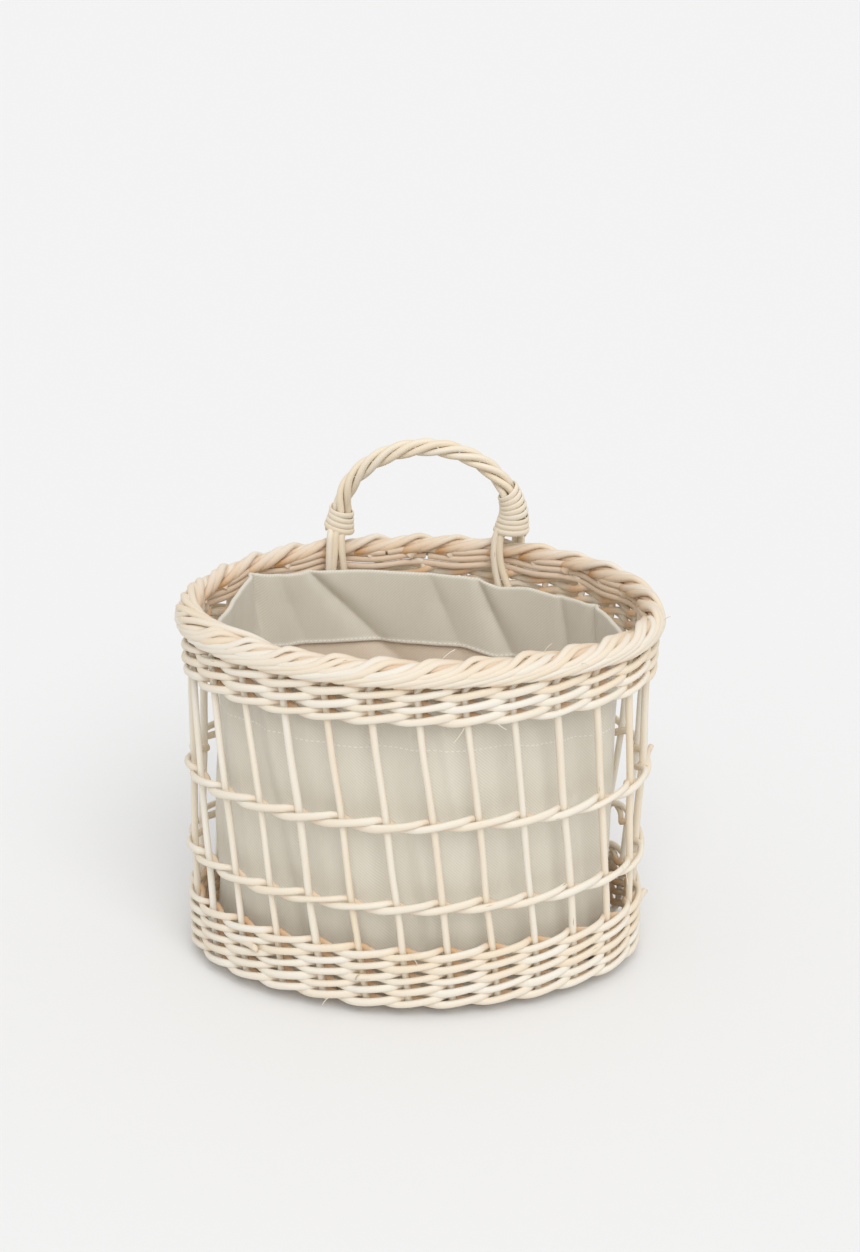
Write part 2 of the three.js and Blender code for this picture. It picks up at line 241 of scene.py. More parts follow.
def turn_outwards(piece):
    """Points all faces outwards and smooths all but the sharp edges."""
    pick(piece)
    bpy.ops.object.mode_set(mode="EDIT")
    bpy.ops.mesh.select_all(action="SELECT")
    bpy.ops.mesh.normals_make_consistent(inside=False)
    bpy.ops.object.mode_set(mode="OBJECT")
    bpy.ops.object.shade_smooth_by_angle(angle=SMOOTH_ANGLE)


# The depth argument is not a place but a painted shade, from 0 to 1, for where the rod lies deep in the
# weave.
def rod(name, route, facings, width, thickness=None, depth=0, sides=ROD_SIDES, tone=None):
    """A willow rod along a route. Its thickness lies along the facings and its width across them."""
    route = np.asarray(route, float)
    count = len(route)
    thickness = width if thickness is None else thickness
    steps = np.linalg.norm(np.diff(route, axis=0), axis=1)
    lengths = np.concatenate([[0], np.cumsum(steps)])
    offset = random.uniform(0, GRAIN_LENGTH)
    swell = [noise.noise(Vector((length / SWELL_LENGTH, offset, 0))) for length in lengths]
    swell = 1 + SWELL_SHARE * np.array(swell)
    along = unit(np.gradient(route, axis=0))
    across = unit(np.cross(along, np.broadcast_to(facings, (count, 3))))
    away = np.cross(across, along)
    turned = TURN * np.arange(sides) / sides
    half_width = (swell * width / 2)[:, None, None]
    half_thickness = (swell * thickness / 2)[:, None, None]
    out = away[:, None, :] * np.cos(turned)[None, :, None] * half_thickness
    beside = across[:, None, :] * np.sin(turned)[None, :, None] * half_width
    points = (route[:, None, :] + out + beside).reshape(-1, 3)
    piece = add_piece(name, points, tube_faces(count, sides))
    ring = np.repeat(np.arange(count), sides)
    circle = np.tile(turned, count)
    grain = np.stack([lengths[ring] + offset, np.cos(circle), np.sin(circle)], axis=1)
    painted_shades = np.broadcast_to(depth, (count,))[ring]
    tones = np.broadcast_to(random.random() if tone is None else tone, (count,))[ring]
    keep_values(piece, "rod_grain", "FLOAT_VECTOR", "vector", grain)
    keep_values(piece, "rod_tone", "FLOAT", "value", tones)
    keep_values(piece, "rod_depth", "FLOAT", "value", painted_shades)
    turn_outwards(piece)
    return piece


def cut_end(piece, point, normal):
    """Cuts a rod off at a slant, as secateurs do, and closes the cut."""
    pick(piece)
    mesh = piece.data
    near = [(vertex.co - point).length < CUT_REACH for vertex in mesh.vertices]
    mesh.vertices.foreach_set("select", near)
    for kind in (mesh.edges, mesh.polygons):
        inside = [all(near[v] for v in part.vertices) for part in kind]
        kind.foreach_set("select", inside)
    bpy.ops.object.mode_set(mode="EDIT")
    bpy.ops.mesh.bisect(plane_co=point, plane_no=normal, use_fill=True, clear_outer=True)
    bpy.ops.object.mode_set(mode="OBJECT")


# %% [markdown]
# Shader maths reads best as plain sums. A small class wraps a node's socket so that adding or
# multiplying two of them makes the Math node, and one method makes any other node. A Mix node has
# sockets of the same name for numbers, vectors and colours, so its colour sockets go by number.

# %% Shader maths
MIX_FACTOR, MIX_FIRST, MIX_SECOND, MIX_RESULT = 0, 6, 7, 2


class Value:
    """A number that varies over a surface."""

    def __init__(self, finish, socket):
        self.finish = finish
        self.socket = socket

    def combine(self, operation, first, second):
        settings = {"operation": operation}
        return self.finish.node("ShaderNodeMath", settings, {0: first, 1: second})

    def __add__(self, other):
        return self.combine("ADD", self, other)

    def __radd__(self, other):
        return self.combine("ADD", other, self)

    def __sub__(self, other):
        return self.combine("SUBTRACT", self, other)

    def __rsub__(self, other):
        return self.combine("SUBTRACT", other, self)

    def __mul__(self, other):
        return self.combine("MULTIPLY", self, other)

    def __rmul__(self, other):
        return self.combine("MULTIPLY", other, self)


class Finish:
    """A material that is built up node by node."""

    def __init__(self, name):
        self.material = bpy.data.materials.new(name)
        self.material.use_nodes = True
        self.tree = self.material.node_tree
        self.shader = self.tree.nodes["Principled BSDF"]

    def put(self, socket, value):
        if isinstance(value, Value):
            self.tree.links.new(value.socket, socket)
        else:
            socket.default_value = value

    def node(self, kind, settings, inputs, output=0):
        made = self.tree.nodes.new(kind)
        for key, value in settings.items():
            if key == "stops":
                self.set_stops(made.color_ramp, value)
            else:
                setattr(made, key, value)
        for key, value in inputs.items():
            self.put(made.inputs[key], value)
        return Value(self, made.outputs[output])

    def set_stops(self, ramp, stops):
        while len(ramp.elements) < len(stops):
            ramp.elements.new(0.5)
        for element, (position, colour) in zip(ramp.elements, stops):
            element.position = position
            element.color = colour

    def attribute(self, name, output="Fac"):
        return self.node("ShaderNodeAttribute", {"attribute_name": name}, {}, output)

    def stretched(self, place, scales):
        settings = {"operation": "MULTIPLY"}
        return self.node("ShaderNodeVectorMath", settings, {0: place, 1: scales})

    def noise(self, place, scale, detail=2, roughness=0.5):
        inputs = {"Vector": place, "Scale": scale, "Detail": detail, "Roughness": roughness}
        return self.node("ShaderNodeTexNoise", {}, inputs)

    def ramp(self, value, stops):
        return self.node("ShaderNodeValToRGB", {"stops": stops}, {"Fac": value})

    def mix(self, factor, first, second):
        settings = {"data_type": "RGBA"}
        inputs = {MIX_FACTOR: factor, MIX_FIRST: first, MIX_SECOND: second}
        return self.node("ShaderNodeMix", settings, inputs, MIX_RESULT)

    def bump(self, height, strength, distance):
        inputs = {"Height": height, "Strength": strength, "Distance": distance}
        return self.node("ShaderNodeBump", {}, inputs)

    def set(self, **values):
        for key, value in values.items():
            self.put(self.shader.inputs[key.replace("_", " ")], value)


def grey(level):
    return (level, level, level, 1)


# %% [markdown]
# Peeled willow is cream. A painted shade makes a rod darker and more orange where it lies behind its
# neighbours, for the shade that falls there. It has a fine grain that runs along the rod, slow changes
# of tone, a few brown knots, and the faint sheen of bare dry wood.

# %% The willow's finish
FIBRE_SCALES = (90, 5, 5)
TONE_SCALES = (18, 0.6, 0.6)
KNOT_SCALES = (75, 1.1, 1.1)
FIBRE_HEIGHT = 0.15 * MM
KNOT_COLOUR = (0.25, 0.12, 0.05, 1)
# Painted shade: the colour that rods take where they lie deep in the weave, in their neighbours' shade.
PAINTED_SHADE_COLOUR = (0.62, 0.33, 0.12, 1)


def willow_finish(name, light, warm):
    """Peeled willow that goes from a light to a warm colour."""
    finish = Finish(name)
    place = finish.attribute("rod_grain", "Vector")
    tone = finish.attribute("rod_tone")
    # The third value on the points is a painted shade, from 0 to 1.
    depth = finish.attribute("rod_depth")
    fibres = finish.noise(finish.stretched(place, FIBRE_SCALES), 1, 3, 0.65)
    clouds = finish.noise(finish.stretched(place, TONE_SCALES), 1, 2)
    specks = finish.noise(finish.stretched(place, KNOT_SCALES), 1, 1)
    warmth = finish.ramp(clouds * 0.75 + tone * 0.35 - 0.05, [(0.3, grey(0)), (0.75, grey(1))])
    wood = finish.mix(warmth, light, warm)
    wood = finish.mix(finish.ramp(fibres, [(0.35, grey(0.22)), (0.62, grey(0))]), wood, warm)
    # Painted shade: the wood is tinted towards the shade colour by that value.
    wood = finish.mix(depth, wood, PAINTED_SHADE_COLOUR)
    knots = finish.ramp(specks, [(0.76, grey(0)), (0.84, grey(0.8))])
    wood = finish.mix(knots, wood, KNOT_COLOUR)
    roughness = 0.52 + fibres * 0.16
    normal = finish.bump(fibres, 0.25, FIBRE_HEIGHT)
    finish.set(Base_Color=wood, Roughness=roughness, Normal=normal)
    finish.set(Specular_IOR_Level=0.35)
    return finish.material


peeled_willow = willow_finish("peeled_willow_finish", (0.835, 0.80, 0.72, 1), (0.815, 0.70, 0.54, 1))
handle_willow = willow_finish("handle_willow_finish", (0.85, 0.80, 0.70, 1), (0.82, 0.70, 0.53, 1))


def weave_in(piece, nodes=()):
    """Makes a rod a part of the basket, in plain peeled willow."""
    return finish_piece(piece, peeled_willow, "basket", nodes)


print("willow finishes made")

# %% [markdown]
# Each stake starts in the base's edge, turns up through a tight bend, and stands straight and leaning.
# Under the rim it bends to the right, rises slowly over the outside for nearly three stake spacings,
# and tucks down inside over the top edge. A second short rod runs beside each, and a third, lower one
# comes up between them near the top. So the outside shows four or five flat strokes side by side, and
# the top edge one hump for each stake.

# %% Strands of the border
STAKE_WIDTH = 4.1 * MM
FOOT_HEIGHT = 3.5 * MM
FOOT_BEND = 6 * MM
BASE_INSET = 15 * MM
BORDER_CENTRE = 199.9 * MM
BORDER_HALF_HEIGHT = 6.3 * MM
STRAND_WIDTH = 4.1 * MM
INNER_WIDTH = 5 * MM
TIP_WIDTH = 3.3 * MM
STRAND_FLATNESS = 0.8
STRAND_STEP = 0.06
TWIN_STAKES = 0.47
FILLER_STAKES = 0.66
FILLER_END = 2.75
CORE_RISE = 1.7 * MM
CORE_REACH = 0.8 * MM
CORE_WIDTH = 6.2 * MM
BEND_RADIUS = 6 * MM
BACK_LIFT = 2.6 * MM
STRAND_STAKES = [0, 0.4, 0.9, 1.4, 1.75, 1.97, 2.15, 2.3, 2.46, 2.7, 3, 3.22, 3.38, 3.52]
STRAND_RISES = np.array([-6.4, -5.4, -3.4, -1.2, 0.7, 2.6, 4.6, 5.9, 5.2, 3.6, 1.3, -0.3, -1.5, -2.6]) * MM
STRAND_REACHES = np.array([1.8, 4.4, 5.6, 5.9, 5.6, 4.7, 3.0, 0.9, -1.1, -2.9, -4, -3.8, -2.4, -0.4]) * MM
HUMP_FROM = 2 * MM
TIP_DROP = 7 * MM
TIP_STAKES = 0.45
SUNK_UNTIL = 1.55
SUNK_MOST = 0.6
TILT_SHARE = 1.2
WIDTH_STAKES = [0, 0.5, 2.3, 2.7, 3.1, 3.5]
STRAND_WIDTHS = [STAKE_WIDTH, STRAND_WIDTH, STRAND_WIDTH, INNER_WIDTH, INNER_WIDTH, TIP_WIDTH]
# Painted shade along a strand, strongest where it tucks down inside the basket.
PAINTED_SHADE_STAKES = [0, 0.6, 2.3, 2.6, 3.1, 3.4]
STRAND_PAINTED_SHADES = [0.6, 0, 0.1, 0.24, 0.5, 1]


def back_lift(place):
    """How much higher the rim stands than a level one. It rises towards the back."""
    return BACK_LIFT * (0.5 + 0.5 * np.cos(TURN * np.asarray(place) / STAKES)) ** 1.5


def strand_route(place, start, hump, nearer, sunk=0, end=STRAND_STAKES[-1]):
    """A border strand: points, facings, width, flatness and painted shade for its depth in the weave."""
    moved = np.arange(start, end, STRAND_STEP)
    rises = np.interp(moved, STRAND_STAKES, STRAND_RISES)
    rises = np.where(rises > HUMP_FROM, HUMP_FROM + (rises - HUMP_FROM) * hump, rises)
    if end < STRAND_STAKES[-1]:
        rises = rises - TIP_DROP * np.clip((moved - end + TIP_STAKES) / TIP_STAKES, 0, 1) ** 2
    reaches = np.interp(moved, STRAND_STAKES, STRAND_REACHES)
    reaches = reaches - sunk * np.clip(SUNK_UNTIL - moved, 0, SUNK_MOST)
    places = place + moved - nearer * np.clip(moved - 1, 0, 1)
    points = wall(places, BORDER_CENTRE + back_lift(places) + rises, reaches)
    out = outward(places, BORDER_CENTRE)
    tilt = np.arctan2(rises, reaches * TILT_SHARE)
    facings = out * np.cos(tilt)[:, None] + np.array(UPWARDS) * np.sin(tilt)[:, None]
    width = np.interp(moved, WIDTH_STAKES, STRAND_WIDTHS)
    flatness = np.interp(moved, [0, 1], [1, STRAND_FLATNESS])
    depth = np.interp(moved, PAINTED_SHADE_STAKES, STRAND_PAINTED_SHADES)
    return np.column_stack([points, facings, width, flatness, depth])


def rounded(route):
    """A route with soft corners and points a rod's step apart."""
    return even(smooth(even(route, ROD_STEP / 2), 3), ROD_STEP)


print("a strand goes on for", STRAND_STAKES[-1], "stakes")

# %% [markdown]
# A stake joins its parts: a foot in the base's edge, a tight bend, the straight upright and its strand
# of the border. The second and third rods are strands alone. Each rod has its own hump, shift and
# width from the seeded random numbers, so no two look the same.

# %% Stakes
FOOT_RISES = FOOT_HEIGHT + FOOT_BEND * np.array([0, 0, 0.2, 1])
FOOT_REACHES = np.array([-BASE_INSET, -FOOT_BEND, -FOOT_BEND * 0.4, 0])
UPRIGHT_FROM = FOOT_HEIGHT + FOOT_BEND * 1.3
UPRIGHT_POINTS = 60
BEND_POINTS = 8
STAKE_HUMPS = (1.2, 1.42)
TWIN_HUMPS = (0.85, 1.05)
FILLER_HUMPS = (0.45, 0.7)
NEARER = (-0.06, 0.06)
TWIN_NEARER = 0.22
FILLER_NEARER = (-0.08, 0.1)
TWIN_START = 0.1
FILLER_START = 0.95
FILLER_SUNK = 5 * MM
WIDTH_SHARES = (0.88, 1.08)
# Painted shade of the core rod, which lies under the strands.
CORE_PAINTED_SHADE = 0.4


def stake_route(place):
    """A stake from the base's edge up to the end of its border strand."""
    slot = BORDER_CENTRE + back_lift(place) - BORDER_HALF_HEIGHT
    foot = wall(place, FOOT_RISES, FOOT_REACHES)
    upright = wall(place, np.linspace(UPRIGHT_FROM, slot - BEND_RADIUS, UPRIGHT_POINTS), 0)
    bend_angles = np.linspace(0, math.pi / 2, BEND_POINTS)[1:]
    bend_place = place + BEND_RADIUS * (1 - np.cos(bend_angles)) / SPACING
    bend = wall(bend_place, slot - BEND_RADIUS * (1 - np.sin(bend_angles)), 0)
    points = np.concatenate([foot, upright, bend])
    facings = outward(np.full(len(points), float(place)), points[:, 2])
    facings[:2] = (0, 0, -1)
    plain = np.broadcast_to([STAKE_WIDTH, 1, 0], (len(points), 3))
    start = BEND_RADIUS / SPACING + STRAND_STEP * 2
    strand = strand_route(place, start, random.uniform(*STAKE_HUMPS), random.uniform(*NEARER))
    route = np.concatenate([np.column_stack([points, facings, plain]), strand])
    return rounded(route)


def border_rod(name, route, nodes=()):
    """Makes a rod of the border from its route."""
    route = sway(route)
    width = route[:, 6] * random.uniform(*WIDTH_SHARES)
    piece = rod(name, route[:, :3], route[:, 3:6], width, width * route[:, 7], route[:, 8])
    weave_in(piece, nodes)


for k in range(STAKES):
    border_rod(f"willow_stake_{k + 1:02d}", stake_route(k), [f"stake_{k + 1:02d}"])
    hump = random.uniform(*TWIN_HUMPS)
    nearer = TWIN_NEARER + random.uniform(*NEARER)
    twin = strand_route(k + TWIN_STAKES, TWIN_START, hump, nearer)
    border_rod(f"willow_border_rod_{k + 1:02d}", rounded(twin))
    hump = random.uniform(*FILLER_HUMPS)
    nearer = random.uniform(*FILLER_NEARER)
    filler = strand_route(k + FILLER_STAKES, FILLER_START, hump, nearer, FILLER_SUNK, FILLER_END)
    border_rod(f"willow_border_filler_{k + 1:02d}", rounded(filler))
core_places = np.arange(0, STAKES, ROD_STEP / SPACING)
core_route = wall(core_places, BORDER_CENTRE + back_lift(core_places) + CORE_RISE, CORE_REACH)
core = rod("willow_border_core", core_route, UPWARDS, CORE_WIDTH, CORE_WIDTH, CORE_PAINTED_SHADE)
weave_in(core)
print("stakes", STAKES, "and two border rods for each")

# %% [markdown]
# Pairing: two weavers go round together. Each passes outside one stake and inside the next. Outside it
# climbs in one long slanting stroke, and behind the next stake it drops down again under its partner.
# The strokes of one row lie close on those of the row below, so only small dark openings stay beside
# the stakes. A band is one long pair that climbs by a row in each round. The real one has new rods
# laid in again and again, so the tone changes on the way.

# %% Paired weavers
WEAVER_WIDTH = 4.2 * MM
WEAVER_THICKNESS = 3.1 * MM
STROKE_PLACES = [-1.1, -0.9, -0.68, -0.33, 0, 0.4, 0.78, 0.92, 1.1]
STROKE_HEIGHTS = np.array([2, -0.7, -1.7, -2.3, -1.1, 0.6, 2, 2.4, 2]) * MM
OPEN_HEIGHTS = np.array([1.6, -3.1, -3.5, -2.7, -1.1, 0.6, 2, 2.4, 1.6]) * MM
STROKE_REACHES = np.array([-3.4, -3.2, -0.6, 2.7, 3.7, 3.6, 2.4, -0.8, -3.4]) * MM
ROW_PITCH = 7 * MM
STEP_UP_STAKES = 2
FIRST_STAKE = 7
ROD_LENGTH_STAKES = 9
TUCKED_STAKES = 0.1
UNEVEN = 0.8 * MM
WIDTH_CHANGE = 0.3
STROKE_START = STROKE_PLACES[0]
OUTSIDE_LANE = 3.1
INSIDE_LANE = 8.7
UNEVEN_PACE = 0.55
UNEVEN_LEVEL = 90
WIDTH_PACE = 0.8
WIDTH_LEVEL = 70
WIDTH_SHIFT = 5
BEHIND_FROM = 0.3
BEHIND_SPAN = 4 * MM
TONE_TURN = 12.9898
TONE_SPREAD = 43758.5453
# How strong the painted shade behind the stakes is, in the bands and in the open rows.
BAND_PAINTED_SHADE = 0.8
OPEN_PAINTED_SHADE = 0.35
PAIRS = {
    "lower_band": (10.2 * MM, 5),
    "lower_open_row": (67 * MM, 1),
    "upper_open_row": (115 * MM, 1),
    "upper_band": (174.9 * MM, 3),
}


def climb(wound, rows):
    """How far a weaver has climbed. It goes up by a row just before each round ends."""
    row = np.minimum(np.floor(wound / STAKES), rows - 1)
    into = np.clip((wound - row * STAKES - (STAKES - STEP_UP_STAKES)) / STEP_UP_STAKES, 0, 1)
    rise = np.where(row == rows - 1, 0, into * into * (3 - 2 * into))
    return (row + rise) * ROW_PITCH


def wander(wound, pace, lane, level):
    """Slow changes along a weaver, from -1 to 1."""
    return np.array([noise.noise(Vector((w * pace, lane, level))) for w in wound])


def weaver_route(first_height, rows, outside_first):
    """Points, facings, painted shade where it passes behind, tone and width of a weaver."""
    total = rows * STAKES - (STEP_UP_STAKES if rows > 1 else 0)
    hidden = -1 if outside_first else 0
    wound = np.arange(hidden + TUCKED_STAKES, total + hidden - TUCKED_STAKES, ROD_STEP / SPACING)
    stroke = np.mod(wound + (0 if outside_first else 1) - STROKE_START, 2) + STROKE_START
    lane = OUTSIDE_LANE if outside_first else INSIDE_LANE
    heights = STROKE_HEIGHTS if rows > 1 else OPEN_HEIGHTS
    height = first_height + climb(wound + 0.5, rows) + np.interp(stroke, STROKE_PLACES, heights)
    height = height + UNEVEN * wander(wound, UNEVEN_PACE, lane, first_height * UNEVEN_LEVEL)
    reach = np.interp(stroke, STROKE_PLACES, STROKE_REACHES)
    # Painted shade where the weaver passes behind the stakes.
    behind = np.clip(BEHIND_FROM - reach / BEHIND_SPAN, 0, 1)
    laid_in = np.floor(wound / ROD_LENGTH_STAKES + lane)
    tone = np.mod(np.sin(laid_in * TONE_TURN) * TONE_SPREAD, 1)
    places = FIRST_STAKE + wound
    swell = 1 + WIDTH_CHANGE * wander(wound, WIDTH_PACE, lane, first_height * WIDTH_LEVEL + WIDTH_SHIFT)
    return np.column_stack([wall(places, height, reach), outward(places, height), behind, tone, swell])


for pair, (first_height, rows) in PAIRS.items():
    shade = BAND_PAINTED_SHADE if rows > 1 else OPEN_PAINTED_SHADE
    for side in ("outer", "inner"):
        name = f"willow_{pair}_{side}"
        route = sway(smooth(weaver_route(first_height, rows, side == "outer"), 2))
        width = WEAVER_WIDTH * route[:, 8]
        depth = shade * route[:, 6]
        facings = route[:, 3:6]
        piece = rod(name, route[:, :3], facings, width, WEAVER_THICKNESS, depth, tone=route[:, 7])
        weave_in(piece, [f"{pair}_{side}_weaver"])
    print(pair, rows, "rows")

# %% [markdown]
# Behind the border's strokes lie three more rods, which show only from inside the basket. Each goes
# in front of one stake and behind the next. They close the wall between the band and the border.

# %% Rows behind the border
RIM_ROW_HEIGHT = 197 * MM
RIM_ROW_REACH = -2.6 * MM
RIM_ROWS = [(-1.9 * MM, 1), (1.9 * MM, 1), (-5 * MM, 0.6)]
RIM_ROW_SWING = 2 * MM
RIM_ROW_WAVE = 0.9 * MM
LAID_WIDTH = 3.7 * MM
LAID_THICKNESS = 3 * MM
# Painted shade of the rows, which lie behind the border's strokes.
RIM_ROW_PAINTED_SHADE = 0.4
wound = np.arange(0, STAKES, ROD_STEP / SPACING)
for k, (rise, share) in enumerate(RIM_ROWS):
    places = wound + k
    reach = RIM_ROW_REACH + RIM_ROW_SWING * np.cos(math.pi * places)
    wave = RIM_ROW_WAVE * np.sin(math.pi * places)
    height = RIM_ROW_HEIGHT + share * back_lift(places) + rise + wave
    route = sway(wall(places, height, reach))
    facings = outward(places, RIM_ROW_HEIGHT)
    piece = rod(f"willow_rim_row_{k + 1}", route, facings, LAID_WIDTH, LAID_THICKNESS, RIM_ROW_PAINTED_SHADE)
    weave_in(piece)

# %% [markdown]
# The handle is four rods twisted together over the arch. Each foot fans out again: its rods slide down
# beside the border, some inside and some outside, and a flat split rod binds them above the rim.

# %% Handle rods
HANDLE_WIDTH = 4.1 * MM
ROPE_RADIUS = 3.3 * MM
ROPE_PITCH = 56 * MM
HALF_SPAN = 49 * MM
HANDLE_RISE = 57 * MM
LEG_RISE = 17 * MM
FOOT_DEPTH = 27 * MM
LEFT_BINDING_END = 21 * MM
RIGHT_BINDING_LENGTH = 33 * MM
BINDING_START = 5 * MM
GATHER_RADIUS = 4.6 * MM
HANDLE_RODS = 4
HANDLE_BACK = wall(HALF_SPAN / SPACING, BODY_HEIGHT, -2 * MM)[1]
BORDER_HALF_WIDTH = 5
STAKE_RADIUS = 1.85
HANDLE_ROD_RADIUS = 2
SEAT_SHARE = 1.1
ROD_CLEARANCE = 0.3
FOOT_REACH = (BORDER_HALF_WIDTH + STAKE_RADIUS + HANDLE_ROD_RADIUS * SEAT_SHARE + ROD_CLEARANCE) * MM
LEFT_AWAYS = [[11.5, 11, 10.8, 9.6], [9.8, 8.5, 7.4, 6.4], [1, 2, 3, 3], [3.4, 3.2, 2.4, 1.5]]
RIGHT_AWAYS = [[2.6, 2.6, 2.6, 2.5], [3, -3.5, -5, -5.2], [-4, -7.5, -8.6, -8.4], [-2.4, -2, -1, 0]]
LEFT_SIDES = (-1, -1, -1, 1)
RIGHT_SIDES = (1, -1, -1, 1)
LEFT_SHIFT = 3 * MM
RIGHT_SHIFT = -2.2 * MM
LEG_DEPTHS = np.array([1, 0.45, 0.15, -0.25])
LEG_REACHES = np.array([1, 1, 1, 0.82])
BOUND_SHARES = np.linspace(0, 1, 6)[2:-1]
ROPE_SHARES = np.linspace(0, 1, 70)
ROPE_START = 0.125
HANDLE_ROUNDS = 12
HANDLE_WIDTHS = (0.95, 1.05)
CUT_BACK = 3
CUT_LEAN = Vector((0.5, 0.4, 0))

ARCH_STEPS = 360
arch_angles = math.pi * (1 - np.arange(ARCH_STEPS + 1) / ARCH_STEPS)
arch_x = HALF_SPAN * np.cos(arch_angles)
arch_rise = LEG_RISE + (HANDLE_RISE - LEG_RISE) * np.sin(arch_angles)
arch_x = np.concatenate([[-HALF_SPAN - LEFT_SHIFT], arch_x, [HALF_SPAN + RIGHT_SHIFT]])
arch_rise = np.concatenate([[0], arch_rise, [0]])
arch_lengths = np.concatenate([[0], np.cumsum(np.hypot(np.diff(arch_x), np.diff(arch_rise)))])
HANDLE_LENGTH = arch_lengths[-1]
RIGHT_BINDING_START = HANDLE_LENGTH - RIGHT_BINDING_LENGTH
ROPE_LENGTH = RIGHT_BINDING_START - LEFT_BINDING_END
ROPE_SHIFTS = round(ROPE_LENGTH / ROPE_PITCH * HANDLE_RODS)
ROPE_TURNS = ROPE_SHIFTS / HANDLE_RODS + ROPE_START


def around_arch(length, radius, turned, widen=1):
    """Points round the handle's middle line."""
    x = np.interp(length, arch_lengths, arch_x)
    rise = np.interp(length, arch_lengths, arch_rise)
    ahead, behind = length + MM, length - MM
    along_x = np.interp(ahead, arch_lengths, arch_x) - np.interp(behind, arch_lengths, arch_x)
    along_z = np.interp(ahead, arch_lengths, arch_rise) - np.interp(behind, arch_lengths, arch_rise)
    size = np.hypot(along_x, along_z)
    away, back = radius * widen * np.cos(TURN * turned), radius * np.sin(TURN * turned)
    across = x - along_z / size * away
    high = BODY_HEIGHT + rise + along_x / size * away
    return np.stack(np.broadcast_arrays(across, HANDLE_BACK + back, high), axis=-1)


def leg_route(sign, aways, side):
    """From a handle rod's foot beside the border up to where its binding starts."""
    height = BODY_HEIGHT - FOOT_DEPTH * LEG_DEPTHS
    x = sign * (HALF_SPAN + aways)
    lean = LEAN_STAKES * (1 - height / BODY_HEIGHT)
    return wall(-x / SPACING - lean, height, side * FOOT_REACH * LEG_REACHES)


def handle_route(rod_number):
    """A handle rod from its left foot, through both bindings and the rope, to its right foot."""
    start = -rod_number / HANDLE_RODS
    end = start + ROPE_TURNS
    radii = GATHER_RADIUS + (ROPE_RADIUS - GATHER_RADIUS) * BOUND_SHARES
    left_rise = BINDING_START + (LEFT_BINDING_END - BINDING_START) * BOUND_SHARES
    left_bound = around_arch(left_rise, radii, start)
    right_rise = BINDING_START + (RIGHT_BINDING_LENGTH - BINDING_START) * BOUND_SHARES
    right_bound = around_arch(HANDLE_LENGTH - right_rise, radii, end)[::-1]
    rope_lengths = LEFT_BINDING_END + ROPE_LENGTH * ROPE_SHARES
    rope = around_arch(rope_lengths, ROPE_RADIUS, start + ROPE_TURNS * ROPE_SHARES)
    left = leg_route(-1, np.array(LEFT_AWAYS[rod_number]) * MM, LEFT_SIDES[rod_number])
    foot = (rod_number - ROPE_SHIFTS) % HANDLE_RODS
    right = leg_route(1, np.array(RIGHT_AWAYS[foot]) * MM, RIGHT_SIDES[foot])[::-1]
    whole = np.concatenate([left, left_bound, rope, right_bound, right])
    return even(smooth(even(whole, 1 * MM), HANDLE_ROUNDS), 2 * MM)


def arch_facings(route):
    """Directions away from the handle's middle line."""
    along = unit(np.gradient(route, axis=0))
    return unit(np.cross(along, (0, 1, 0)))


for k in range(HANDLE_RODS):
    route = handle_route(k)
    width = HANDLE_WIDTH * random.uniform(*HANDLE_WIDTHS)
    piece = rod(f"willow_handle_rod_{k + 1}", route, arch_facings(route), width)
    for end, inner in ((0, 3), (-1, -4)):
        tangent = Vector(route[end] - route[inner]).normalized()
        slant = (tangent + CUT_LEAN.cross(tangent)).normalized()
        cut_end(piece, Vector(route[end]) - tangent * CUT_BACK * MM, slant)
    finish_piece(piece, handle_willow, "basket", [f"handle_rod_{k + 1}"])
print("handle rods", HANDLE_RODS, "rope turns", ROPE_TURNS)

# %% [markdown]
# A flat split rod binds each foot. It winds round all four rods, turn beside turn, with its two ends
# tucked in. The turns tilt a little, as they do when they are pulled tight by hand.

# %% Bindings
BINDING_WIDTH = 3.3 * MM
BINDING_THICKNESS = 1.5 * MM
BINDING_PITCH = 3.2 * MM
BINDING_SEAT = 2.9 * MM
TURN_POINTS = 24
TILT_PHASE = 0.8
TILT_FROM = 0.4
END_FADE = 12
WIDEN_FADE = 1.5


def binding_route(span, at, lift, widen):
    """The route of a split rod wound round a foot, its ends tucked in, and its facings."""
    first = BINDING_START + BINDING_WIDTH / 2
    wound = span - BINDING_WIDTH / 2
    turns = wound / BINDING_PITCH
    parts = np.linspace(0, 1, round(turns * TURN_POINTS))
    radius = GATHER_RADIUS + BINDING_SEAT + (ROPE_RADIUS - GATHER_RADIUS) * parts
    tilt = lift * np.sin(TURN * turns * parts + TILT_PHASE) * (TILT_FROM + parts)
    places = at(first + wound * parts + tilt)
    radius = radius - BINDING_THICKNESS * np.exp(-END_FADE * np.minimum(parts, 1 - parts) * turns)
    route = around_arch(places, radius, turns * parts, 1 + widen * (1 - parts) ** WIDEN_FADE)
    return route, unit(route - around_arch(places, 0, 0))


BINDINGS = {
    "left": (LEFT_BINDING_END - BINDING_START, lambda rise: rise, 0.5 * MM, 0.16),
    "right": (RIGHT_BINDING_LENGTH - BINDING_START, lambda rise: HANDLE_LENGTH - rise, 1.1 * MM, 0.34),
}
for side, (span, at, lift, widen) in BINDINGS.items():
    route, facings = binding_route(span, at, lift, widen)
    piece = rod(f"willow_binding_{side}", route, facings, BINDING_WIDTH, BINDING_THICKNESS)
    finish_piece(piece, handle_willow, "basket", [f"handle_binding_{side}"])
print("bindings", len(BINDINGS))

# %% [markdown]
# The base is woven too: sticks run from the front to the back and from end to end, and one long rod
# goes round and round between them from the edge to the middle, over one stick and under the next.

